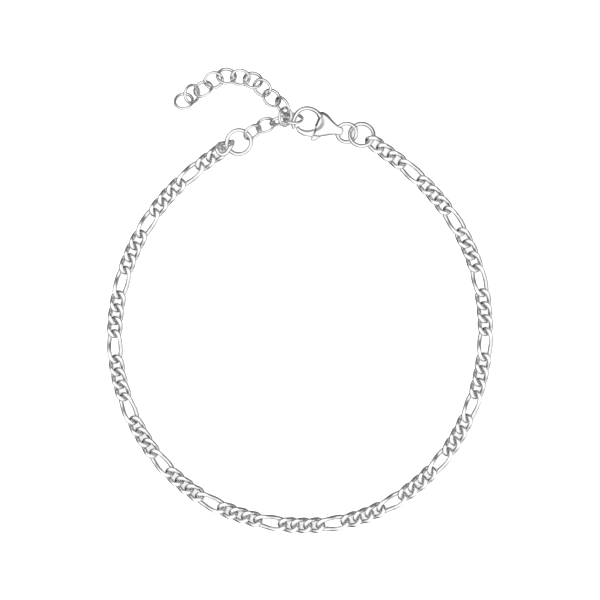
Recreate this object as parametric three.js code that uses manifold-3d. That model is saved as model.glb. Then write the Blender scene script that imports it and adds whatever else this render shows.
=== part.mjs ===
// A silver figaro chain bracelet with a lobster clasp and an extension chain, closed and lying flat.
// Millimetres, +Z up. The surface that it lies on is z = 0, and the origin is the middle of its outline.

import * as THREE from 'three';
import { mergeVertices } from 'three/addons/utils/BufferGeometryUtils.js';
import Module from 'manifold-3d';

const wasm = await Module();
wasm.setup();

// Figaro chain: three short curb links to one long one, cut flat on both faces.
const CHAIN_WIDTH = 2.32;
const CHAIN_HEIGHT = 1.0;
const CHAIN_FLAT = 1.6;
const CHAIN_STEPS = 44;
const CHAIN_END_INSET = 0.35;

// Extension chain: round links, 3 mm across, which lie half over each other.
const EXTENDER_WIDTH = 2.3;
const EXTENDER_HEIGHT = 1.6;
const EXTENDER_FLAT = 1.1;
const EXTENDER_LINK_RADIUS = 1.32;
const EXTENDER_WIRE = 0.45;

// Lobster clasp, seen in its own frame: +X runs from the hook to the eyelet.
const CLASP_CENTRE = new THREE.Vector2(1.0, 26.6);
const CLASP_TURN = THREE.MathUtils.degToRad(-17.6);
const BODY_HEIGHT = 2.1;
const BODY_EDGE = 0.25;
const MID_HEIGHT = BODY_HEIGHT / 2;
const HOOK_WIDTH = 0.6;
const HOOK_HEIGHT = 0.86;
const GATE_HEIGHT = 0.6;
const SLOT_HEIGHT = 0.8;
const SLOT_RADIUS = 0.95;
const HUB_RADIUS = 0.62;
const PIVOT = new THREE.Vector2(2.0, -1.3);
const PIN_RADIUS = 0.25;
const PIN_LENGTH = 1.4;
const PIN_CLEARANCE = 0.06;
const EYELET_CLEARANCE = 0.12;

// Soldered rings: the middle of each, the radius to the middle of its wire, and the tilt in degrees that
// raises its far side.
const RINGS = {
  jump_ring_clasp: { centre: [6.85, 24.73, MID_HEIGHT], radius: 1.44, wire: 0.56, tilt: 19, segments: 28 },
  jump_ring_chain: { centre: [9.05, 24.42, 1.06], radius: 1.76, wire: 0.6, tilt: -19, segments: 30 },
  jump_ring_extender: { centre: [-9.09, 23.32, 0.75], radius: 1.81, wire: 0.6, tilt: 8, segments: 30 },
  extender_clasped_link: {
    centre: [-1.05, 26.8, 1.35], radius: EXTENDER_LINK_RADIUS, wire: EXTENDER_WIRE, tilt: -58, segments: 26,
  },
};
const RING_SIDES = 8;

// The middle of the chain, from its first link beside the clasp, round the wrist, to its last link.
const CHAIN_ROUTE = [
  [10.8, 22.75], [15.65, 19.65], [19.75, 15.65], [23.15, 11.05], [25.65, 5.8], [27.0, 0.3], [27.35, -5.5],
  [26.65, -11.2], [24.9, -16.7], [22.25, -21.75], [18.5, -26.2], [13.95, -29.7], [8.75, -32.15],
  [3.1, -33.25], [-2.7, -33.15], [-8.3, -32.0], [-13.55, -29.8], [-18.3, -26.4], [-22.1, -22.1],
  [-24.95, -17.15], [-26.8, -11.7], [-27.5, -6.0], [-27.05, -0.3], [-25.6, 5.3], [-23.15, 10.5],
  [-19.85, 15.15], [-15.75, 19.1], [-10.95, 22.35],
];

// The extension chain between its large ring and the clasp, and then its free end.
const RUN_ROUTE = [[-7.15, 24.9], [-5.2, 25.9], [-3.6, 26.45], [-3.0, 26.6]];
const TAIL_ROUTE = [
  [-3.1, 29.0], [-4.3, 29.95], [-5.65, 31.4], [-7.05, 32.5], [-8.9, 32.95], [-11.0, 33.15],
  [-12.85, 32.5], [-14.35, 31.15], [-16.0, 30.5], [-17.3, 29.4], [-18.1, 28.3],
];

function metal(colour, roughness) {
  return new THREE.MeshStandardMaterial({ color: colour, roughness, metalness: 1 });
}

const silver = () => metal(0xd9dadb, 0.2);
const castSilver = () => metal(0xdcdcda, 0.16);

function asSolid(geometry) {
  const bare = geometry.clone();
  bare.deleteAttribute('normal');
  bare.deleteAttribute('uv');
  const merged = mergeVertices(bare, 1e-4);
  return new wasm.Manifold(new wasm.Mesh({
    numProp: 3,
    vertProperties: new Float32Array(merged.attributes.position.array),
    triVerts: new Uint32Array(merged.index.array),
  }));
}

function asGeometry(solid) {
  const mesh = solid.getMesh();
  const geometry = new THREE.BufferGeometry();
  geometry.setAttribute('position', new THREE.BufferAttribute(mesh.vertProperties, 3));
  geometry.setIndex(new THREE.BufferAttribute(mesh.triVerts, 1));
  geometry.computeVertexNormals();
  return geometry;
}

function named(name, geometry, material) {
  const mesh = new THREE.Mesh(geometry, material);
  mesh.name = name;
  return mesh;
}

// An eight-sided section, flat below and above. Extruded along a level path, its first axis points down.
function flattenedSection(width, height, flat) {
  const shoulder = height * 0.3;
  const half = [
    [0, flat / 2], [shoulder, width / 2], [height - shoulder, width / 2], [height, flat / 2],
  ];
  const otherHalf = half.map(([level, across]) => [level, -across]).reverse();
  return new THREE.Shape([...half, ...otherHalf].map(([level, across]) => new THREE.Vector2(-level, across)));
}

function levelCurve(route, height = 0) {
  return new THREE.CatmullRomCurve3(route.map(([x, y]) => new THREE.Vector3(x, y, height)));
}

// The part of a curve that is left when a length is cut from each end.
function trimmed(curve, inset) {
  const share = inset / curve.getLength();
  const count = 60;
  const points = [];
  for (let i = 0; i <= count; i += 1) {
    points.push(curve.getPointAt(share + (1 - 2 * share) * (i / count)));
  }
  return new THREE.CatmullRomCurve3(points);
}

function chainTube(curve, width, height, flat, steps) {
  return new THREE.ExtrudeGeometry(flattenedSection(width, height, flat), { steps, extrudePath: curve });
}

// A ring of round wire about the Z axis.
function wireRing(radius, wire, segments) {
  const profile = [];
  for (let i = 0; i <= RING_SIDES; i += 1) {
    const angle = (2 * Math.PI * (i % RING_SIDES)) / RING_SIDES;
    profile.push(new THREE.Vector2(radius + (wire / 2) * Math.cos(angle), (wire / 2) * Math.sin(angle)));
  }
  return new THREE.LatheGeometry(profile, segments).rotateX(Math.PI / 2);
}

function placeRing(object, ring) {
  object.position.set(...ring.centre);
  object.rotation.x = THREE.MathUtils.degToRad(ring.tilt);
}

function upright(radius, height, middle, sides) {
  const cylinder = new THREE.CylinderGeometry(radius, radius, height, sides).rotateX(Math.PI / 2);
  return cylinder.translate(PIVOT.x, PIVOT.y, middle);
}

function plate(shape, thickness, bottom, edge) {
  const geometry = new THREE.ExtrudeGeometry(shape, {
    depth: thickness - 2 * edge,
    bevelEnabled: edge > 0,
    bevelThickness: edge,
    bevelSize: edge,
    bevelOffset: -edge,
    bevelSegments: 2,
    curveSegments: 5,
  });
  return geometry.translate(0, 0, bottom + edge);
}

// Clasp body: a flat-topped wedge that narrows from the hook's mouth to the eyelet.
function bodyShape() {
  const shape = new THREE.Shape();
  shape.moveTo(1.3, 1.5);
  shape.quadraticCurveTo(1.9, 2.1, 2.8, 1.63);
  shape.quadraticCurveTo(3.2, 1.35, 4.1, 0.82);
  shape.quadraticCurveTo(4.6, 0.5, 5.1, 0.56);
  shape.quadraticCurveTo(5.6, 0.5, 5.58, 0);
  shape.quadraticCurveTo(5.6, -0.6, 5.2, -0.68);
  shape.quadraticCurveTo(4.3, -0.85, 3.4, -1.33);
  shape.lineTo(2.5, -1.8);
  shape.lineTo(1.55, -1.95);
  shape.quadraticCurveTo(1.85, -0.9, 1.72, -0.1);
  shape.quadraticCurveTo(1.6, 0.5, 1.3, 1.0);
  shape.closePath();
  return shape;
}

// Hook: a bow of oval wire from the body's upper corner round to its tip beside the gate.
function hookBow() {
  const bow = [
    [1.5, 1.3], [1.1, 1.55], [0.4, 1.76], [-0.5, 1.7], [-1.3, 1.25], [-1.76, 0.5], [-1.88, -0.3],
    [-1.85, -0.95], [-1.68, -1.45], [-1.4, -1.8],
  ];
  const section = [];
  const sides = 10;
  for (let i = 0; i < sides; i += 1) {
    const angle = (2 * Math.PI * i) / sides;
    section.push(new THREE.Vector2((HOOK_HEIGHT / 2) * Math.cos(angle), (HOOK_WIDTH / 2) * Math.sin(angle)));
  }
  const path = levelCurve(bow, MID_HEIGHT);
  return new THREE.ExtrudeGeometry(new THREE.Shape(section), { steps: 16, extrudePath: path });
}

function claspBody(frame) {
  const eyeletRing = RINGS.jump_ring_clasp;
  const channel = new THREE.Object3D();
  placeRing(channel, eyeletRing);
  channel.updateMatrix();
  const room = wireRing(eyeletRing.radius, eyeletRing.wire + 2 * EYELET_CLEARANCE, eyeletRing.segments);
  room.applyMatrix4(channel.matrix).applyMatrix4(frame.clone().invert());
  return asSolid(plate(bodyShape(), BODY_HEIGHT, 0, BODY_EDGE))
    .add(asSolid(hookBow()))
    .subtract(asSolid(upright(SLOT_RADIUS, SLOT_HEIGHT, MID_HEIGHT, 28)))
    .subtract(asSolid(upright(PIN_RADIUS + PIN_CLEARANCE, PIN_LENGTH + 2 * PIN_CLEARANCE, MID_HEIGHT, 16)))
    .subtract(asSolid(room));
}

// Lever: the gate that closes the hook and the thumb tab, round one hub.
function gateShape() {
  const shape = new THREE.Shape();
  shape.moveTo(-1.2, -1.17);
  shape.lineTo(-0.78, -2.14);
  shape.quadraticCurveTo(-0.4, -2.32, 0.1, -2.34);
  shape.lineTo(1.2, -2.24);
  shape.lineTo(1.22, -2.6);
  shape.quadraticCurveTo(1.4, -2.85, 1.72, -2.84);
  shape.lineTo(2.5, -1.95);
  shape.lineTo(2.0, -1.3);
  shape.lineTo(1.1, -0.92);
  shape.quadraticCurveTo(0.3, -1.62, -0.6, -1.46);
  shape.closePath();
  return shape;
}

function claspLever() {
  return asSolid(plate(gateShape(), GATE_HEIGHT, MID_HEIGHT - GATE_HEIGHT / 2, 0))
    .add(asSolid(upright(HUB_RADIUS, GATE_HEIGHT, MID_HEIGHT, 24)))
    .subtract(asSolid(upright(PIN_RADIUS + PIN_CLEARANCE, BODY_HEIGHT, MID_HEIGHT, 16)));
}

const bracelet = new THREE.Group();

const chainMiddle = trimmed(levelCurve(CHAIN_ROUTE), CHAIN_END_INSET);
bracelet.add(named(
  'figaro_chain',
  chainTube(chainMiddle, CHAIN_WIDTH, CHAIN_HEIGHT, CHAIN_FLAT, CHAIN_STEPS),
  silver(),
));
bracelet.add(named(
  'extender_run',
  chainTube(levelCurve(RUN_ROUTE), EXTENDER_WIDTH, EXTENDER_HEIGHT, EXTENDER_FLAT, 4),
  silver(),
));
bracelet.add(named(
  'extender_tail',
  chainTube(levelCurve(TAIL_ROUTE), EXTENDER_WIDTH, EXTENDER_HEIGHT, EXTENDER_FLAT, 14),
  silver(),
));

for (const [name, ring] of Object.entries(RINGS)) {
  const mesh = named(name, wireRing(ring.radius, ring.wire, ring.segments), silver());
  placeRing(mesh, ring);
  bracelet.add(mesh);
}

const clasp = new THREE.Group();
clasp.position.set(CLASP_CENTRE.x, CLASP_CENTRE.y, 0);
clasp.rotation.z = CLASP_TURN;
clasp.updateMatrix();
clasp.add(named('clasp_body', asGeometry(claspBody(clasp.matrix)), castSilver()));
clasp.add(named('clasp_lever', asGeometry(claspLever()), castSilver()));
clasp.add(named('clasp_pin', upright(PIN_RADIUS, PIN_LENGTH, MID_HEIGHT, 16), silver()));
bracelet.add(clasp);

export default bracelet;
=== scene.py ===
# A silver figaro chain bracelet with a lobster clasp, closed on its extension chain and lying flat.

import bmesh
import bpy
import math
import random
from mathutils import Matrix, Vector, geometry


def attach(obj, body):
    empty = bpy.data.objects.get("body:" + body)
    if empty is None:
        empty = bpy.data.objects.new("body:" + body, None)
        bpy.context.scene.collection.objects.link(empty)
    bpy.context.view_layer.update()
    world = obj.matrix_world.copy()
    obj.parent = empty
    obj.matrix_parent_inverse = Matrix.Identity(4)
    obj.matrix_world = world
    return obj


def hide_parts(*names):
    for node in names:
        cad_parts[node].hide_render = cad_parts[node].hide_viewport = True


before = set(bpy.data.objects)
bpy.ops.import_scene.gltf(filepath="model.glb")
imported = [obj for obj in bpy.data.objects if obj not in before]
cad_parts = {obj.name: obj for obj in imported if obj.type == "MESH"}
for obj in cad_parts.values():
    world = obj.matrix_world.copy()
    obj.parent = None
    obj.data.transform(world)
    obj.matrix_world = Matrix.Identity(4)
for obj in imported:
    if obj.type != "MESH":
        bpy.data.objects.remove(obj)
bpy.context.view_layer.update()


# Figaro chain
# Sixty-seven curb links of round silver wire, three short to one long. Each link is twisted, so that the
# next one lies flat through it, and the finished chain is diamond-cut flat on both faces.

CHAIN_WIRE = 0.00062
CHAIN_THICKNESS = 0.0012
CHAIN_HALF_WIDTH = 0.00117
# Half of a link's width and length, to the middle of its wire, and the step from each link to the next.
LINK_HALF_WIDTH = 0.00085
SHORT_HALF_LENGTH = 0.00134
LONG_HALF_LENGTH = 0.00226
SHORT_TO_SHORT = 0.001912
SHORT_TO_LONG = 0.002832
# How far a link's sides are pressed out of level and how sharply, and how much its ends are drawn in.
LINK_RISE = 0.0004
LINK_PRESS = 3.0
LONG_LINK_BOW = 0.35
SHORT_LINK_BOW = 0.2
LINK_BEND_STEPS = 16
LINK_WIRE_SIDES = 16
SHORT_SIDE_STEPS = 3
LONG_SIDE_STEPS = 10
# The links crowd a little towards the front of the loop, and lie off their line by up to these degrees.
CHAIN_SLACK = 0.00044
LOOSE_HEADING = 1.0
LOOSE_ROLL = 1.5
# The links are rolled, with their outer sides raised at the back of the loop and lowered at its front.
CHAIN_ROLL = math.radians(10)
# The end links ride up over their rings: the middle's shift from the route and its height in metres, and
# two turns in degrees.
END_LINKS = {
    "first": {"shift": (-0.00001, 0.00006), "height": 0.00112, "pitch": 16, "roll": 12},
    "last": {"shift": (-0.0002, -0.00004), "height": 0.00146, "pitch": 12, "roll": -34},
}
FIRST_LINKS = ["short"] * 3
CHAIN_REPEAT = ["long", "short", "short", "short"]
REPEATS = 16
# The middle of the chain as it lies, from the clasp's side round to the extension chain's.
CHAIN_ROUTE = [
    (0.01105, 0.02305), (0.01565, 0.01965), (0.01975, 0.01565), (0.02315, 0.01105), (0.02565, 0.00580),
    (0.02700, 0.00030), (0.02735, -0.00550), (0.02665, -0.01120), (0.02490, -0.01670),
    (0.02225, -0.02175), (0.01850, -0.02620), (0.01395, -0.02970), (0.00875, -0.03215),
    (0.00310, -0.03325), (-0.00270, -0.03315), (-0.00830, -0.03200), (-0.01355, -0.02980),
    (-0.01830, -0.02640), (-0.02210, -0.02210), (-0.02495, -0.01715), (-0.02680, -0.01170),
    (-0.02750, -0.00600), (-0.02705, -0.00030), (-0.02560, 0.00530), (-0.02315, 0.01050),
    (-0.01985, 0.01515), (-0.01575, 0.01910), (-0.01105, 0.02260),
]


def oval_path(half_length, half_width, bend_steps, side_steps):
    """Level points round an oval with its length along X, to the middle of its wire."""
    reach = half_length - half_width
    path = []
    for side in (1, -1):
        for step in range(bend_steps):
            turn = math.pi * (step / bend_steps - 0.5)
            ahead = reach + half_width * math.cos(turn)
            path.append(Vector((side * ahead, side * half_width * math.sin(turn), 0)))
        for step in range(side_steps):
            path.append(Vector((side * reach * (1 - 2 * step / side_steps), side * half_width, 0)))
    return path


def draw_wire(path, width, height, around, sizes=(), closed=False):
    """Wire of oval section along a path, joined to its own start or closed over at both ends. Its sizes, if
    given, are shares of the full width and height at each point."""
    wire = bmesh.new()
    bmesh.ops.create_circle(wire, segments=around, radius=0.5)
    bmesh.ops.scale(wire, vec=(width, height, 1), verts=wire.verts[:])
    section, ring, place = wire.edges[:], wire.verts[:], Matrix.Identity(4)
    route = [path[-1]] + path + path[:2] if closed else path[:1] + path + path[-1:]
    for number, (before, here, after) in enumerate(zip(route, route[1:], route[2:])):
        ahead = (after - before).normalized()
        across = Vector((-ahead.y, ahead.x, 0)).normalized()
        facing = Matrix((across, ahead.cross(across), ahead)).transposed().to_4x4()
        there = Matrix.Translation(here) @ facing
        if sizes:
            there = there @ Matrix.Diagonal((*sizes[number], 1, 1))
        if number:
            drawn = bmesh.ops.extrude_edge_only(wire, edges=section)["geom"]
            ring = [part for part in drawn if isinstance(part, bmesh.types.BMVert)]
            section = [part for part in drawn if isinstance(part, bmesh.types.BMEdge) and part.is_boundary]
        bmesh.ops.transform(wire, matrix=there @ place.inverted(), verts=ring)
        place = there
    if closed:
        bmesh.ops.remove_doubles(wire, verts=wire.verts[:], dist=width * 0.001)
    else:
        bmesh.ops.holes_fill(wire, edges=[edge for edge in wire.edges if edge.is_boundary], sides=0)
    bmesh.ops.recalc_face_normals(wire, faces=wire.faces[:])
    return wire


def cut_flats(link, thickness):
    """Cuts both faces of a twisted link flat, and marks the cuts as the second material."""
    for face in link.faces:
        face.smooth = True
    for up in (1, -1):
        parts = link.verts[:] + link.edges[:] + link.faces[:]
        cut = bmesh.ops.bisect_plane(
            link, geom=parts, dist=1e-8, clear_outer=True,
            plane_co=(0, 0, up * thickness / 2), plane_no=(0, 0, up),
        )
        rims = [part for part in cut["geom_cut"] if isinstance(part, bmesh.types.BMEdge)]
        for flat in bmesh.ops.holes_fill(link, edges=rims, sides=0)["faces"]:
            flat.smooth = False
            flat.material_index = 1


def curb_link(half_length, side_steps, bow):
    """One link, with bowed sides, each pressed up towards one end and down towards the other."""
    path = oval_path(half_length, LINK_HALF_WIDTH, LINK_BEND_STEPS, side_steps)
    for point in path:
        point.y *= 1 - bow * (point.x / half_length) ** 2
        twist = LINK_PRESS * (point.x / half_length) * (point.y / LINK_HALF_WIDTH)
        point.z = -LINK_RISE * math.tanh(twist)
    link = draw_wire(path, CHAIN_WIRE, CHAIN_WIRE, LINK_WIRE_SIDES, closed=True)
    cut_flats(link, CHAIN_THICKNESS)
    mesh = bpy.data.meshes.new("curb_link")
    link.to_mesh(mesh)
    link.free()
    return mesh


def smooth_route(points, steps=12):
    """Points along a smooth level curve through a route."""
    route = [Vector((x, y, 0)) for x, y in points]
    route = [2 * route[0] - route[1]] + route + [2 * route[-1] - route[-2]]
    curve = []
    for before, here, there, after in zip(route, route[1:], route[2:], route[3:]):
        leaving = here + (there - before) / 6
        arriving = there - (after - here) / 6
        curve += geometry.interpolate_bezier(here, leaving, arriving, there, steps)[:-1]
    return curve + [route[-2]]


def along(curve, distance):
    """The point that lies a distance along a curve, or straight on past its end."""
    for here, there in zip(curve, curve[1:]):
        step = (there - here).length
        if distance <= step or there is curve[-1]:
            return here + (there - here) * (distance / step)
        distance -= step


def join_links(name, placed, materials):
    """One piece of many links, from a list of meshes and the matrix that places each."""
    chain = bmesh.new()
    for mesh, place in placed:
        made = len(chain.verts)
        chain.from_mesh(mesh)
        chain.verts.ensure_lookup_table()
        bmesh.ops.transform(chain, matrix=place, verts=chain.verts[made:])
    joined = bpy.data.meshes.new(name)
    chain.to_mesh(joined)
    chain.free()
    for material in materials:
        joined.materials.append(material)
    piece = bpy.data.objects.new(name, joined)
    bpy.context.collection.objects.link(piece)
    return piece


BLOOM_SCALE = 900.0
SCRATCH_SCALE = 9000.0
SCRATCH_SHARE = 0.5
# Scratches run in three directions, far longer than they are wide, and only the strongest show.
SCRATCH_TURNS = (20, 75, 130)
SCRATCH_STRETCH = 0.06
SCRATCH_FAINTEST = 0.62
SCRATCH_STRONGEST = 0.74
BLOOM_WEAR = 0.6


def polish_marks():
    """The marks that tumbling and wear leave in polished silver: a dull bloom, and fine scratches."""
    group = bpy.data.node_groups.new("polish marks", "ShaderNodeTree")
    sockets = group.interface
    sockets.new_socket("Place", in_out="INPUT", socket_type="NodeSocketVector")
    for name, value in (
        ("Bloom Scale", BLOOM_SCALE), ("Scratch Scale", SCRATCH_SCALE), ("Scratch Share", SCRATCH_SHARE),
    ):
        socket = sockets.new_socket(name, in_out="INPUT", socket_type="NodeSocketFloat")
        socket.default_value = value
    for name in ("Bloom", "Scratches", "Height"):
        sockets.new_socket(name, in_out="OUTPUT", socket_type="NodeSocketFloat")
    nodes, links = group.nodes, group.links
    given = nodes.new("NodeGroupInput")
    result = nodes.new("NodeGroupOutput")

    bloom = nodes.new("ShaderNodeTexNoise")
    bloom.inputs["Detail"].default_value = 3
    links.new(given.outputs["Place"], bloom.inputs["Vector"])
    links.new(given.outputs["Bloom Scale"], bloom.inputs["Scale"])

    heights = []
    for turn in SCRATCH_TURNS:
        turned = nodes.new("ShaderNodeMapping")
        turned.inputs["Rotation"].default_value = [math.radians(part) for part in (turn / 2, turn / 3, turn)]
        turned.inputs["Scale"].default_value = (SCRATCH_STRETCH, 1, 1)
        links.new(given.outputs["Place"], turned.inputs["Vector"])
        scratch = nodes.new("ShaderNodeTexNoise")
        scratch.inputs["Detail"].default_value = 2
        links.new(turned.outputs["Vector"], scratch.inputs["Vector"])
        links.new(given.outputs["Scratch Scale"], scratch.inputs["Scale"])
        sharp = nodes.new("ShaderNodeMapRange")
        sharp.inputs["From Min"].default_value = SCRATCH_FAINTEST
        sharp.inputs["From Max"].default_value = SCRATCH_STRONGEST
        links.new(scratch.outputs["Fac"], sharp.inputs["Value"])
        heights.append(sharp.outputs["Result"])
    both = nodes.new("ShaderNodeMath")
    both.operation = "MAXIMUM"
    links.new(heights[0], both.inputs[0])
    links.new(heights[1], both.inputs[1])
    every = nodes.new("ShaderNodeMath")
    every.operation = "MAXIMUM"
    links.new(both.outputs[0], every.inputs[0])
    links.new(heights[2], every.inputs[1])
    share = nodes.new("ShaderNodeMath")
    share.operation = "MULTIPLY"
    links.new(every.outputs[0], share.inputs[0])
    links.new(given.outputs["Scratch Share"], share.inputs[1])
    depth = nodes.new("ShaderNodeMath")
    depth.operation = "SUBTRACT"
    links.new(bloom.outputs["Fac"], depth.inputs[0])
    links.new(share.outputs[0], depth.inputs[1])

    links.new(bloom.outputs["Fac"], result.inputs["Bloom"])
    links.new(share.outputs[0], result.inputs["Scratches"])
    links.new(depth.outputs[0], result.inputs["Height"])
    return group


def silver(name, bright, dull, smooth, rough, relief, marks, **scales):
    """Solid polished silver: two tones and two roughnesses, mixed by the marks on its surface."""
    material = bpy.data.materials.new(name)
    material.use_nodes = True
    nodes, links = material.node_tree.nodes, material.node_tree.links
    metal = nodes["Principled BSDF"]
    metal.inputs["Metallic"].default_value = 1.0
    place = nodes.new("ShaderNodeTexCoord")
    surface = nodes.new("ShaderNodeGroup")
    surface.node_tree = marks
    for socket, value in scales.items():
        surface.inputs[socket.replace("_", " ").title()].default_value = value
    links.new(place.outputs["Object"], surface.inputs["Place"])

    tone = nodes.new("ShaderNodeMix")
    tone.data_type = "RGBA"
    tone.inputs["A"].default_value = (*bright, 1)
    tone.inputs["B"].default_value = (*dull, 1)
    links.new(surface.outputs["Bloom"], tone.inputs["Factor"])
    links.new(tone.outputs["Result"], metal.inputs["Base Color"])

    gloss = nodes.new("ShaderNodeMapRange")
    gloss.inputs["To Min"].default_value = smooth
    gloss.inputs["To Max"].default_value = rough
    worn = nodes.new("ShaderNodeMath")
    worn.operation = "MULTIPLY_ADD"
    worn.inputs[1].default_value = BLOOM_WEAR
    links.new(surface.outputs["Bloom"], worn.inputs[0])
    links.new(surface.outputs["Scratches"], worn.inputs[2])
    links.new(worn.outputs[0], gloss.inputs["Value"])
    links.new(gloss.outputs["Result"], metal.inputs["Roughness"])

    bump = nodes.new("ShaderNodeBump")
    bump.inputs["Strength"].default_value = 1.0
    bump.inputs["Distance"].default_value = relief
    links.new(surface.outputs["Height"], bump.inputs["Height"])
    links.new(bump.outputs["Normal"], metal.inputs["Normal"])
    return material


marks = polish_marks()
wire_silver = silver(
    "polished wire silver", bright=(0.93, 0.93, 0.92), dull=(0.84, 0.84, 0.84), smooth=0.08, rough=0.24,
    relief=1e-6, marks=marks,
)
cut_silver = silver(
    "diamond-cut silver", bright=(0.97, 0.97, 0.96), dull=(0.92, 0.92, 0.91), smooth=0.03, rough=0.14,
    relief=3e-7, marks=marks, scratch_scale=14000.0,
)

random.seed(16)
link_meshes = {
    "short": curb_link(SHORT_HALF_LENGTH, SHORT_SIDE_STEPS, SHORT_LINK_BOW),
    "long": curb_link(LONG_HALF_LENGTH, LONG_SIDE_STEPS, LONG_LINK_BOW),
}
half_lengths = {"short": SHORT_HALF_LENGTH, "long": LONG_HALF_LENGTH}
chain_curve = smooth_route(CHAIN_ROUTE)
chain_order = FIRST_LINKS + CHAIN_REPEAT * REPEATS
stations = [0.0]
for link, following in zip(chain_order, chain_order[1:]):
    stations.append(stations[-1] + (SHORT_TO_SHORT if link == following else SHORT_TO_LONG))
chain_links = []
for number, (link, station) in enumerate(zip(chain_order, stations)):
    station += CHAIN_SLACK * math.sin(2 * math.pi * station / stations[-1])
    back = along(chain_curve, station - half_lengths[link] / 2)
    ahead = along(chain_curve, station + half_lengths[link] / 2)
    middle = along(chain_curve, station)
    heading = math.atan2(ahead.y - back.y, ahead.x - back.x)
    heading += math.radians(random.uniform(-LOOSE_HEADING, LOOSE_HEADING))
    roll = CHAIN_ROLL * middle.normalized().y + math.radians(random.uniform(-LOOSE_ROLL, LOOSE_ROLL))
    pitch = 0.0
    middle.z = CHAIN_THICKNESS / 2 + CHAIN_HALF_WIDTH * abs(math.sin(roll))
    if number in (0, len(stations) - 1):
        end = END_LINKS["last" if number else "first"]
        middle = Vector((middle.x + end["shift"][0], middle.y + end["shift"][1], end["height"]))
        pitch, roll = math.radians(end["pitch"]), math.radians(end["roll"])
    turn = Matrix.Rotation(heading, 4, "Z") @ Matrix.Rotation(pitch, 4, "Y") @ Matrix.Rotation(roll, 4, "X")
    chain_links.append((link_meshes[link], Matrix.Translation(middle) @ turn))
chain = join_links("figaro_links", chain_links, [wire_silver, cut_silver])
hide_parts("figaro_chain")
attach(chain, "bracelet")


# Jump rings
# Three rings of heavier round wire, each closed and soldered at one joint: two between the chain and the
# clasp, and a large one between the last chain link and the extension chain.

# Each ring's middle, the radius to the middle of its wire and the wire in metres, and two turns in degrees.
CLASP_RING = {
    "centre": (0.00685, 0.02473, 0.00105), "radius": 0.00144, "wire": 0.00056, "heading": 0, "lean": 19,
}
CHAIN_RING = {
    "centre": (0.00905, 0.02442, 0.00106), "radius": 0.00176, "wire": 0.0006, "heading": 0, "lean": -19,
}
LARGE_RING = {
    "centre": (-0.00910, 0.02335, 0.00119), "radius": 0.00181, "wire": 0.0006, "heading": 24, "lean": 12,
}
RING_STEPS = 64
RING_WIRE_SIDES = 20
# The solder swells the wire at the joint and, less, on both sides of it.
SOLDER_COLLAR = ((-1, 1.02), (0, 1.05), (1, 1.02))


def soldered_ring(radius, wire, steps, around):
    """A ring of round wire about Z, with the low collar of solder that fills its joint."""
    ring = bmesh.new()
    across = Matrix.Translation((radius, 0, 0)) @ Matrix.Rotation(math.pi / 2, 4, "X")
    bmesh.ops.create_circle(ring, segments=around, radius=wire / 2, matrix=across)
    bmesh.ops.spin(
        ring, geom=ring.edges[:], cent=(0, 0, 0), axis=(0, 0, 1), angle=2 * math.pi, steps=steps,
        use_merge=True,
    )
    bmesh.ops.recalc_face_normals(ring, faces=ring.faces[:])
    step = 2 * math.pi / steps
    for turn, swell in SOLDER_COLLAR:
        middle = Matrix.Rotation(turn * step, 3, "Z") @ Vector((radius, 0, 0))
        collar = [vert for vert in ring.verts if (vert.co - middle).length < wire * 0.501]
        bmesh.ops.scale(ring, vec=(swell,) * 3, space=Matrix.Translation(-middle), verts=collar)
    for face in ring.faces:
        face.smooth = True
    mesh = bpy.data.meshes.new("soldered_ring")
    ring.to_mesh(mesh)
    ring.free()
    return mesh


def ring_place(ring, joint):
    """Where a ring lies. Its lean raises the left side of its heading, and its joint is at an angle."""
    heading = Matrix.Rotation(math.radians(ring["heading"]), 4, "Z")
    lean = Matrix.Rotation(math.radians(ring["lean"]), 4, "X")
    return Matrix.Translation(ring["centre"]) @ heading @ lean @ Matrix.Rotation(math.radians(joint), 4, "Z")


for node, ring, joint in (
    ("jump_ring_clasp", CLASP_RING, 70),
    ("jump_ring_chain", CHAIN_RING, 250),
    ("jump_ring_extender", LARGE_RING, 300),
):
    mesh = soldered_ring(ring["radius"], ring["wire"], RING_STEPS, RING_WIRE_SIDES)
    piece = join_links(node + "_wire", [(mesh, ring_place(ring, joint))], [wire_silver])
    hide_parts(node)
    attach(piece, "bracelet")


# Extension chain
# Fifteen small round links of thin wire, each soldered. Three run from the large ring to the clasp, the
# fourth is caught in its hook, and eleven hang free.

EXTENDER_WIRE = 0.00045
EXTENDER_RADIUS = 0.00132
EXTENDER_STEPS = 48
EXTENDER_WIRE_SIDES = 14
# Each link's middle in metres, its heading and its lean in degrees.
RUN_LINKS = [
    (-0.00709, 0.02484, 0.00130, 37, 54), (-0.00517, 0.02584, 0.00110, 24, -41),
    (-0.00315, 0.02647, 0.00150, 19, 70),
]
CLASPED_LINK = (-0.00105, 0.02680, 0.00135, 0, -58)
TAIL_LINKS = [
    (-0.00225, 0.02706, 0.00242, 85, 49), (-0.00262, 0.02874, 0.00187, -58, 58),
    (-0.00425, 0.02985, 0.00160, -47, -33), (-0.00565, 0.03140, 0.00140, -40, 36),
    (-0.00705, 0.03250, 0.00095, -12, -33), (-0.00890, 0.03290, 0.00100, -5, 35),
    (-0.01095, 0.03310, 0.00100, -5, -34), (-0.01285, 0.03250, 0.00100, 16, 34),
    (-0.01440, 0.03120, 0.00110, 32, -40), (-0.01605, 0.03045, 0.00135, 79, 40),
    (-0.01725, 0.02940, 0.00140, 10, -33),
]


def round_links(name, links):
    """One piece of extension links, each with its solder joint at any angle."""
    mesh = soldered_ring(EXTENDER_RADIUS, EXTENDER_WIRE, EXTENDER_STEPS, EXTENDER_WIRE_SIDES)
    placed = []
    for x, y, height, heading, lean in links:
        ring = {"centre": (x, y, height), "heading": heading, "lean": lean}
        placed.append((mesh, ring_place(ring, random.uniform(0, 360))))
    return join_links(name, placed, [wire_silver])


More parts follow.
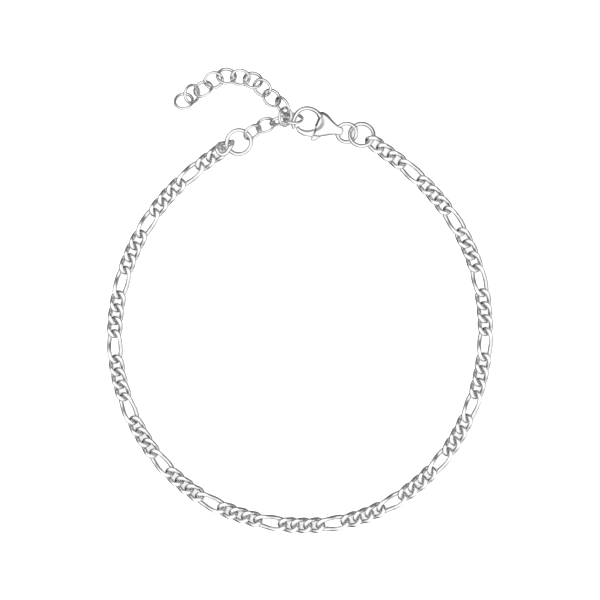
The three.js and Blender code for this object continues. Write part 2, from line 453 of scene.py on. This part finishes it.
for name, links, node in (
    ("extender_run_links", RUN_LINKS, "extender_run"),
    ("extender_clasped_ring", [CLASPED_LINK], "extender_clasped_link"),
    ("extender_tail_links", TAIL_LINKS, "extender_tail"),
):
    piece = round_links(name, links)
    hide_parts(node)
    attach(piece, "bracelet")


# Lobster clasp
# One silver casting: a tapering body, a hook of oval wire that curls from its front corner, and an eyelet
# bored through its tail. It is sawn open at mid-height for the lever, and polished all over.

# The clasp is shaped in millimetres about the middle of its hook, and put in its place once finished.
MM = 0.001
CLASP_MIDDLE = (0.0010, 0.0266, 0.00105)
CLASP_HEADING = math.radians(-17.6)
CLASP_PLACE = Matrix.Translation(CLASP_MIDDLE) @ Matrix.Rotation(CLASP_HEADING, 4, "Z")
BODY_HALF_HEIGHT = 1.02
BODY_CORNER = 0.55
BODY_CORNER_STEPS = 6
# The faces fall away by this share towards the sides, from a line along the body's middle.
BODY_CROWN = 0.12
BODY_CROWN_LINE = -0.1
BODY_CROWN_REACH = 1.9
# Along the body from the mouth to the eyelet: distance, lower side, upper side, share of the full height.
BODY_STATIONS = [
    (1.15, -1.95, 1.62, 1.0), (1.75, -1.97, 1.86, 1.0), (2.30, -1.88, 1.83, 1.0),
    (2.80, -1.64, 1.62, 0.99), (3.40, -1.33, 1.23, 0.93), (4.10, -0.96, 0.82, 0.82),
    (4.70, -0.77, 0.55, 0.73), (5.10, -0.70, 0.53, 0.70), (5.38, -0.62, 0.44, 0.64),
    (5.53, -0.46, 0.28, 0.50), (5.59, -0.28, 0.10, 0.30),
]
# The middle of the hook, from its root in the body round to its tip, and its share of the full size at
# both ends.
HOOK_BOW = [
    (1.9, 1.0), (1.5, 1.3), (1.1, 1.55), (0.4, 1.76), (-0.5, 1.7), (-1.3, 1.25), (-1.76, 0.5), (-1.88, -0.3),
    (-1.85, -0.95), (-1.68, -1.45), (-1.42, -1.78),
]
HOOK_WIDTH = 0.62
HOOK_HEIGHT = 0.86
HOOK_ROOT = [1.3, 1.3, 1.3, 1.3, 1.28, 1.02]
HOOK_TIP = [0.97, 0.9, 0.72]
HOOK_SIDES = 20
# The lever turns here, in a slot sawn into the body, on a pin whose hole stops short of both faces.
PIVOT = (2.0, -1.3)
SLOT_RADIUS = 1.0
SLOT_HEIGHT = 0.8
PIN_HOLE_RADIUS = 0.31
PIN_POCKET = 1.52
# The hole through the eyelet follows the ring in it, with this much more width than the ring's wire.
EYELET_CLEARANCE = 0.24


def loft_body():
    """The body: rounded oblong sections, drawn from the mouth to the tail through its stations."""
    body = bmesh.new()
    bmesh.ops.create_grid(body, x_segments=2, y_segments=1, size=1)
    bmesh.ops.delete(body, geom=body.faces[:], context="FACES_ONLY")
    inner = [edge for edge in body.edges if all(abs(vert.co.x) < 0.1 for vert in edge.verts)]
    bmesh.ops.delete(body, geom=inner, context="EDGES")
    start, low, high, _ = BODY_STATIONS[0]
    bmesh.ops.scale(body, vec=((high - low) / 2, BODY_HALF_HEIGHT, 1), verts=body.verts[:])
    corners = [vert for vert in body.verts if abs(vert.co.x) > 0.1]
    bmesh.ops.bevel(
        body, geom=corners, affect="VERTICES", offset=BODY_CORNER, segments=BODY_CORNER_STEPS, profile=0.5,
        material=-1,
    )
    upright = Matrix(((0, 0, 1), (1, 0, 0), (0, 1, 0))).to_4x4()
    first = Matrix.Translation((start, (low + high) / 2, 0)) @ upright
    bmesh.ops.transform(body, matrix=first, verts=body.verts[:])

    lows = smooth_route([(u, low) for u, low, _, _ in BODY_STATIONS], 3)
    highs = smooth_route([(u, high) for u, _, high, _ in BODY_STATIONS], 3)
    shares = smooth_route([(u, share) for u, _, _, share in BODY_STATIONS], 3)
    section = body.edges[:]
    wide, tall = high - low, 1.0
    at = Vector((start, (low + high) / 2, 0))
    for lower, upper, share in zip(lows[1:], highs[1:], shares[1:]):
        drawn = bmesh.ops.extrude_edge_only(body, edges=section)["geom"]
        ring = [part for part in drawn if isinstance(part, bmesh.types.BMVert)]
        section = [part for part in drawn if isinstance(part, bmesh.types.BMEdge) and part.is_boundary]
        onto = Vector((lower.x, (lower.y + upper.y) / 2, 0))
        change = (1, (upper.y - lower.y) / wide, share.y / tall)
        bmesh.ops.scale(body, vec=change, space=Matrix.Translation(-at), verts=ring)
        bmesh.ops.translate(body, vec=onto - at, verts=ring)
        wide, tall, at = upper.y - lower.y, share.y, onto
    bmesh.ops.holes_fill(body, edges=[edge for edge in body.edges if edge.is_boundary], sides=0)
    bmesh.ops.recalc_face_normals(body, faces=body.faces[:])
    for vert in body.verts:
        side = (vert.co.y - BODY_CROWN_LINE) / BODY_CROWN_REACH
        vert.co.z *= 1 - BODY_CROWN * side * side
    return body


# The wall of the mouth is filed from its edge at mid-height, and a round dish is sunk in each face round it.
MOUTH_EDGE = (1.36, 0.0, 0.0)
MOUTH_TILT = math.radians(62)
MOUTH_TURN = math.radians(-6)
DISH_MIDDLE = (0.92, 0.14)
DISH_FLOOR = 0.62
DISH_FLOOR_RADIUS = 1.14
DISH_TOP = 1.3
DISH_SLOPE = math.radians(38)
DISH_SIDES = 96


def file_mouth(body):
    """Files the wall of the mouth back from mid-height, towards both faces."""
    for up in (1, -1):
        facing = Vector((-math.sin(MOUTH_TILT), 0, up * math.cos(MOUTH_TILT)))
        facing.rotate(Matrix.Rotation(MOUTH_TURN, 3, "Z"))
        parts = body.verts[:] + body.edges[:] + body.faces[:]
        cut = bmesh.ops.bisect_plane(
            body, geom=parts, dist=1e-6, plane_co=MOUTH_EDGE, plane_no=facing, clear_outer=True,
        )
        rims = [part for part in cut["geom_cut"] if isinstance(part, bmesh.types.BMEdge)]
        bmesh.ops.holes_fill(body, edges=rims, sides=0)


def dish(up):
    """The cutter that sinks one face round the mouth, to a level floor with a sloping rim."""
    rise = DISH_TOP - DISH_FLOOR
    floor, rim = DISH_FLOOR_RADIUS, DISH_FLOOR_RADIUS + rise / math.tan(DISH_SLOPE)
    lower, upper = (floor, rim) if up > 0 else (rim, floor)
    cutter = bmesh.new()
    bmesh.ops.create_cone(
        cutter, cap_ends=True, segments=DISH_SIDES, radius1=lower, radius2=upper, depth=rise,
        matrix=Matrix.Translation((*DISH_MIDDLE, up * (DISH_FLOOR + DISH_TOP) / 2)),
    )
    return cutter


def sweep_hook():
    """The hook: an oval section drawn along its bow, with a rounded tip."""
    bow = smooth_route(HOOK_BOW, 4)
    sizes = HOOK_ROOT + [1.0] * (len(bow) - len(HOOK_ROOT) - len(HOOK_TIP)) + HOOK_TIP
    return draw_wire(bow, HOOK_WIDTH, HOOK_HEIGHT, HOOK_SIDES, sizes=[(size, size) for size in sizes])


def upright_rod(radius, height, sides):
    """A rod across the clasp at the lever's pivot."""
    rod = bmesh.new()
    bmesh.ops.create_cone(
        rod, cap_ends=True, segments=sides, radius1=radius, radius2=radius, depth=height,
        matrix=Matrix.Translation((*PIVOT, 0)),
    )
    return rod


def as_object(name, shape):
    """A finished shape as an object in the scene."""
    mesh = bpy.data.meshes.new(name)
    shape.to_mesh(mesh)
    shape.free()
    made = bpy.data.objects.new(name, mesh)
    bpy.context.collection.objects.link(made)
    return made


def settle(piece):
    """Makes a piece's modifiers part of its mesh."""
    bpy.context.view_layer.update()
    done = piece.evaluated_get(bpy.context.evaluated_depsgraph_get())
    solid = bpy.data.meshes.new_from_object(done)
    piece.modifiers.clear()
    piece.data = solid


def combine(piece, tools):
    """Joins solids to a piece or cuts them out of it, in order, and removes them."""
    for operation, tool in tools:
        step = piece.modifiers.new(operation, "BOOLEAN")
        step.operation = operation
        step.solver = "EXACT"
        step.object = tool
        settle(piece)
        bpy.data.objects.remove(tool)


ROUNDED_FROM = math.radians(38)
ROUNDING_STEPS = 3
SHARP_FROM = math.radians(50)


def polish_edges(piece, width, place, material):
    """Rounds a finished solid's sharp edges a little, smooths its shading and puts it in its place."""
    rounding = piece.modifiers.new("rounding", "BEVEL")
    rounding.width = width
    rounding.segments = ROUNDING_STEPS
    rounding.limit_method = "ANGLE"
    rounding.angle_limit = ROUNDED_FROM
    settle(piece)
    solid = piece.data
    solid.transform(place @ Matrix.Scale(MM, 4))
    solid.shade_smooth()
    solid.set_sharp_from_angle(angle=SHARP_FROM)
    solid.materials.clear()
    solid.materials.append(material)


BODY_ROUNDING = 0.05
cast_silver = silver(
    "cast silver", bright=(0.94, 0.94, 0.93), dull=(0.86, 0.86, 0.86), smooth=0.07, rough=0.18,
    relief=1e-6, marks=marks,
)

shell = loft_body()
file_mouth(shell)
clasp_body = as_object("lobster_clasp_body", shell)
eyelet_width = CLASP_RING["wire"] + EYELET_CLEARANCE * MM
eyelet_room = soldered_ring(CLASP_RING["radius"], eyelet_width, steps=48, around=16)
eyelet_room.transform((CLASP_PLACE @ Matrix.Scale(MM, 4)).inverted() @ ring_place(CLASP_RING, 90))
eyelet_tool = bpy.data.objects.new("eyelet_room", eyelet_room)
bpy.context.collection.objects.link(eyelet_tool)
combine(clasp_body, [
    ("DIFFERENCE", as_object("upper_dish", dish(1))),
    ("DIFFERENCE", as_object("lower_dish", dish(-1))),
    ("UNION", as_object("hook", sweep_hook())),
    ("DIFFERENCE", as_object("slot", upright_rod(SLOT_RADIUS, SLOT_HEIGHT, sides=48))),
    ("DIFFERENCE", as_object("pin_pocket", upright_rod(PIN_HOLE_RADIUS, PIN_POCKET, sides=24))),
    ("DIFFERENCE", eyelet_tool),
])
polish_edges(clasp_body, BODY_ROUNDING, CLASP_PLACE, cast_silver)
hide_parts("clasp_body")
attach(clasp_body, "bracelet")


# Lever
# The clasp's gate and its thumb tab, one casting that turns on a hidden pin. A spring inside the body holds
# the gate shut against the hook's tip.

# Along the gate from its tip to the hub, and down the tab: middle of the bar, and its width.
GATE_BAR = [
    (-1.12, -1.32, 0.30), (-1.0, -1.5, 0.52), (-0.75, -1.75, 0.68), (-0.3, -1.88, 0.78), (0.2, -1.92, 0.84),
    (0.75, -1.82, 0.94), (1.3, -1.62, 1.1), (2.0, -1.3, 1.2),
]
GATE_TAB = [(2.1, -1.5, 1.2), (1.9, -1.95, 1.0), (1.72, -2.3, 0.76), (1.58, -2.56, 0.52), (1.5, -2.74, 0.28)]
GATE_THICKNESS = 0.68
GATE_SIDES = 24
HUB_RADIUS = 0.62
LEVER_ROUNDING = 0.04


def gate_bar(stations):
    """A bar of rounded section through its stations, as wide as each says."""
    path = smooth_route([(x, y) for x, y, _ in stations], 4)
    widths = smooth_route([(x, width) for x, _, width in stations], 4)
    sizes = [(width.y, min(1.0, width.y / GATE_THICKNESS)) for width in widths]
    return draw_wire(path, 1.0, GATE_THICKNESS, GATE_SIDES, sizes=sizes)


lever = as_object("lobster_clasp_lever", gate_bar(GATE_BAR))
combine(lever, [
    ("UNION", as_object("tab", gate_bar(GATE_TAB))),
    ("UNION", as_object("hub", upright_rod(HUB_RADIUS, GATE_THICKNESS, sides=40))),
    ("DIFFERENCE", as_object("pin_hole", upright_rod(PIN_HOLE_RADIUS, BODY_HALF_HEIGHT * 2, sides=24))),
])
polish_edges(lever, LEVER_ROUNDING, CLASP_PLACE, cast_silver)
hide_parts("clasp_lever")
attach(lever, "lever")


# Hinge pin
# A short length of round silver wire that the lever turns on. It is closed in the body across the slot, and
# no end of it shows.

pin_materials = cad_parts["clasp_pin"].data.materials
pin_materials.clear()
pin_materials.append(wire_silver)


# Studio
# A white table in a tent of white cloth. The tent is lit from above and from the front, so that its back and
# right-hand walls stay dark, and the metal's lowest sides see only the shade that it casts itself.

TABLE_SIZE = 3.0
TABLE_DROP = 2e-5
# Brightness of the walls, and of what is seen below them, by bearing in degrees from the right.
TENT_WALLS = [
    (-180, 0.45), (-160, 0.3), (-145, 0.08), (-125, 0.05), (-110, 0.3), (-95, 0.9), (-25, 0.9), (0, 0.5),
    (20, 0.18), (45, 0.16), (75, 0.16), (95, 0.18), (115, 0.4), (180, 0.45),
]
TENT_FOOT = [
    (-180, 0.08), (-150, 0.04), (-115, 0.05), (-90, 0.3), (-65, 0.25), (-25, 0.35), (0, 0.25), (20, 0.15),
    (45, 0.13), (75, 0.13), (100, 0.13), (115, 0.1), (160, 0.1), (180, 0.08),
]
# The walls' lower edge in degrees of elevation, and the roof's by how nearly a ray points to its middle.
FOOT_EDGE = (-5, 20)
ROOF_AXIS = (-0.2, -0.2, 0.96)
ROOF_EDGE = (0.42, 0.78)
ROOF_LIGHT = 1.12
TABLE_LIGHT = 5.5

table = bmesh.new()
bmesh.ops.create_grid(
    table, x_segments=1, y_segments=1, size=TABLE_SIZE / 2, matrix=Matrix.Translation((0, 0, -TABLE_DROP)),
)
table_top = as_object("table", table)
table_top.visible_glossy = False
white = bpy.data.materials.new("white table")
white.use_nodes = True
paint = white.node_tree.nodes["Principled BSDF"]
paint.inputs["Base Color"].default_value = (0.9, 0.9, 0.9, 1)
paint.inputs["Roughness"].default_value = 0.9
paint.inputs["Specular IOR Level"].default_value = 0.0
table_top.data.materials.append(white)

tent = bpy.data.worlds.new("light tent")
bpy.context.scene.world = tent
tent.use_nodes = True
nodes, links = tent.node_tree.nodes, tent.node_tree.links
nodes.clear()
direction = nodes.new("ShaderNodeTexCoord")
parts = nodes.new("ShaderNodeSeparateXYZ")
links.new(direction.outputs["Generated"], parts.inputs[0])
bearing = nodes.new("ShaderNodeMath")
bearing.operation = "ARCTAN2"
links.new(parts.outputs["Y"], bearing.inputs[0])
links.new(parts.outputs["X"], bearing.inputs[1])
share_round = nodes.new("ShaderNodeMapRange")
share_round.inputs["From Min"].default_value = -math.pi
share_round.inputs["From Max"].default_value = math.pi
links.new(bearing.outputs[0], share_round.inputs["Value"])


def shades_by_bearing(stops):
    """Greys round the tent, from a list of bearings in degrees from the right and their brightness."""
    ramp = nodes.new("ShaderNodeValToRGB")
    links.new(share_round.outputs["Result"], ramp.inputs["Fac"])
    shades = ramp.color_ramp.elements
    for shade, (_, grey) in zip(shades, (stops[0], stops[-1])):
        shade.color = (grey, grey, grey, 1)
    for degrees, grey in stops[1:-1]:
        shades.new((degrees + 180) / 360).color = (grey, grey, grey, 1)
    return ramp.outputs["Color"]


def blend(amount, edge, low, high):
    """One light below an edge and another above it, with a soft change between."""
    share = nodes.new("ShaderNodeMapRange")
    share.interpolation_type = "SMOOTHSTEP"
    share.inputs["From Min"].default_value, share.inputs["From Max"].default_value = edge
    links.new(amount, share.inputs["Value"])
    mixed = nodes.new("ShaderNodeMix")
    mixed.data_type = "RGBA"
    links.new(share.outputs["Result"], mixed.inputs["Factor"])
    links.new(low, mixed.inputs["A"])
    links.new(high, mixed.inputs["B"])
    return mixed.outputs["Result"]


white_cloth = nodes.new("ShaderNodeRGB")
white_cloth.outputs[0].default_value = (1, 1, 1, 1)
up_roof = nodes.new("ShaderNodeVectorMath")
up_roof.operation = "DOT_PRODUCT"
up_roof.inputs[1].default_value = ROOF_AXIS
links.new(direction.outputs["Generated"], up_roof.inputs[0])
foot_heights = [math.sin(math.radians(height)) for height in FOOT_EDGE]
foot_shades, wall_shades = shades_by_bearing(TENT_FOOT), shades_by_bearing(TENT_WALLS)
walls = blend(parts.outputs["Z"], foot_heights, foot_shades, wall_shades)
tent_light = blend(up_roof.outputs["Value"], ROOF_EDGE, walls, white_cloth.outputs[0])
ray = nodes.new("ShaderNodeLightPath")
strength = nodes.new("ShaderNodeMix")
strength.inputs["A"].default_value = ROOF_LIGHT
strength.inputs["B"].default_value = TABLE_LIGHT
links.new(ray.outputs["Is Diffuse Ray"], strength.inputs["Factor"])
light = nodes.new("ShaderNodeBackground")
links.new(tent_light, light.inputs["Color"])
links.new(strength.outputs["Result"], light.inputs["Strength"])
plain = nodes.new("ShaderNodeBackground")
plain.inputs["Color"].default_value = (1, 1, 1, 1)
choice = nodes.new("ShaderNodeMixShader")
links.new(ray.outputs["Is Camera Ray"], choice.inputs["Fac"])
links.new(light.outputs[0], choice.inputs[1])
links.new(plain.outputs[0], choice.inputs[2])
world = nodes.new("ShaderNodeOutputWorld")
links.new(choice.outputs[0], world.inputs["Surface"])

# The camera looks straight down from far off with a long lens, and takes in this width of the table.
VIEW_WIDTH = 0.0888
VIEW_MIDDLE = (-0.000074, 0)
VIEW_HEIGHT = 0.0005
LENS = 300
SENSOR = 36
NEAREST_SEEN = 0.05
camera = bpy.data.objects.new("camera", bpy.data.cameras.new("camera"))
bpy.context.collection.objects.link(camera)
camera.data.lens = LENS
camera.data.sensor_width = SENSOR
camera.data.clip_start = NEAREST_SEEN
camera.location = (*VIEW_MIDDLE, VIEW_WIDTH * LENS / SENSOR + VIEW_HEIGHT)
bpy.context.scene.camera = camera
bpy.context.scene.view_settings.view_transform = "Standard"
